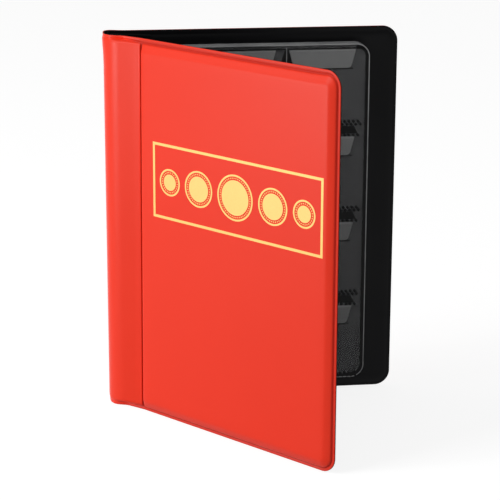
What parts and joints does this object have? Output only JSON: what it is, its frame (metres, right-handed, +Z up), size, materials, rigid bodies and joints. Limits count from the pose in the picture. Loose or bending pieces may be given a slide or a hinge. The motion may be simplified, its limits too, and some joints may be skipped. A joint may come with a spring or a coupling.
{
  "type": "coin album",
  "caption": "Pocket album for coins: padded plastic covers that fold on a spine, and clear leaves of pockets with tuck-in tongues that turn on the binding.",
  "frame": {"origin": "middle of the standing album's foot, as the box round it stands on the table", "axes": "+Z up along the spine, +X from the spine along the back cover to its fore edge, +Y out of the back cover's outer face"},
  "size_m": [0.132, 0.1072, 0.17],
  "materials": {
    "red_pvc": "satin, fine grain",
    "black_pvc": "satin",
    "card_board": "matt grey card",
    "foam_pad": "matt foam",
    "gold_foil": "hot stamped foil",
    "clear_pvc": "clear, smooth",
    "tongue_pvc": "clear, smooth"
  },
  "bodies": {
    "spine": {"spine_skin": "red_pvc", "spine_lining": "black_pvc", "spine_board": "card_board", "rear_band_board": "card_board", "leaf_binding": "clear_pvc"},
    "front_band": {"front_band_skin": "red_pvc", "front_band_lining": "black_pvc", "front_band_board": "card_board"},
    "front_cover": {"front_cover_skin": "red_pvc", "front_cover_lining": "black_pvc", "front_cover_board": "card_board", "front_cover_foam": "foam_pad", "front_cover_foil_stamp": "gold_foil"},
    "back_cover": {"back_cover_skin": "red_pvc", "back_cover_lining": "black_pvc", "back_cover_board": "card_board", "back_cover_foam": "foam_pad"},
    "leaf_10": {"leaf_10_back_film": "clear_pvc", "leaf_10_pocket_film": "clear_pvc", "leaf_10_tongues": "tongue_pvc"},
    "leaf_09": {"leaf_09_back_film": "clear_pvc", "leaf_09_pocket_film": "clear_pvc", "leaf_09_tongues": "tongue_pvc"},
    "leaf_08": {"leaf_08_back_film": "clear_pvc", "leaf_08_pocket_film": "clear_pvc", "leaf_08_tongues": "tongue_pvc"},
    "leaf_07": {"leaf_07_back_film": "clear_pvc", "leaf_07_pocket_film": "clear_pvc", "leaf_07_tongues": "tongue_pvc"},
    "leaf_06": {"leaf_06_back_film": "clear_pvc", "leaf_06_pocket_film": "clear_pvc", "leaf_06_tongues": "tongue_pvc"},
    "leaf_05": {"leaf_05_back_film": "clear_pvc", "leaf_05_pocket_film": "clear_pvc", "leaf_05_tongues": "tongue_pvc"},
    "leaf_04": {"leaf_04_back_film": "clear_pvc", "leaf_04_pocket_film": "clear_pvc", "leaf_04_tongues": "tongue_pvc"},
    "leaf_03": {"leaf_03_back_film": "clear_pvc", "leaf_03_pocket_film": "clear_pvc", "leaf_03_tongues": "tongue_pvc"},
    "leaf_02": {"leaf_02_back_film": "clear_pvc", "leaf_02_pocket_film": "clear_pvc", "leaf_02_tongues": "tongue_pvc"},
    "leaf_01": {"leaf_01_back_film": "clear_pvc", "leaf_01_pocket_film": "clear_pvc", "leaf_01_tongues": "tongue_pvc"}
  },
  "joints": [
    {"name": "spine_fold", "type": "hinge", "parent": "spine", "child": "front_band", "pos_m": [-0.0638, 0.04382, 0.085], "axis": [0, 0, -1], "range_deg": [-42.5, 132.5]},
    {"name": "front_crease", "type": "hinge", "parent": "front_band", "child": "front_cover", "pos_m": [-0.05053, 0.03166, 0.085], "axis": [0, 0, -1], "range_deg": [-7, 80]},
    {"name": "rear_crease", "type": "hinge", "parent": "spine", "child": "back_cover", "pos_m": [-0.0458, 0.05142, 0.085], "axis": [0, 0, -1], "range_deg": [-87, 0]},
    {"name": "leaf_10_turn", "type": "hinge", "parent": "spine", "child": "leaf_10", "pos_m": [-0.057, 0.04332, 0.085], "axis": [0, 0, -1], "range_deg": [0, 17]},
    {"name": "leaf_09_turn", "type": "hinge", "parent": "leaf_10", "child": "leaf_09", "pos_m": [-0.057, 0.04332, 0.085], "axis": [0, 0, -1], "range_deg": [0, 17]},
    {"name": "leaf_08_turn", "type": "hinge", "parent": "leaf_09", "child": "leaf_08", "pos_m": [-0.057, 0.04332, 0.085], "axis": [0, 0, -1], "range_deg": [0, 17]},
    {"name": "leaf_07_turn", "type": "hinge", "parent": "leaf_08", "child": "leaf_07", "pos_m": [-0.057, 0.04332, 0.085], "axis": [0, 0, -1], "range_deg": [0, 17]},
    {"name": "leaf_06_turn", "type": "hinge", "parent": "leaf_07", "child": "leaf_06", "pos_m": [-0.057, 0.04332, 0.085], "axis": [0, 0, -1], "range_deg": [0, 17]},
    {"name": "leaf_05_turn", "type": "hinge", "parent": "leaf_06", "child": "leaf_05", "pos_m": [-0.057, 0.04332, 0.085], "axis": [0, 0, -1], "range_deg": [0, 17]},
    {"name": "leaf_04_turn", "type": "hinge", "parent": "leaf_05", "child": "leaf_04", "pos_m": [-0.057, 0.04332, 0.085], "axis": [0, 0, -1], "range_deg": [0, 17]},
    {"name": "leaf_03_turn", "type": "hinge", "parent": "leaf_04", "child": "leaf_03", "pos_m": [-0.057, 0.04332, 0.085], "axis": [0, 0, -1], "range_deg": [0, 17]},
    {"name": "leaf_02_turn", "type": "hinge", "parent": "leaf_03", "child": "leaf_02", "pos_m": [-0.057, 0.04332, 0.085], "axis": [0, 0, -1], "range_deg": [0, 17]},
    {"name": "leaf_01_turn", "type": "hinge", "parent": "leaf_02", "child": "leaf_01", "pos_m": [-0.057, 0.04332, 0.085], "axis": [0, 0, -1], "range_deg": [0, 17]}
  ]
}
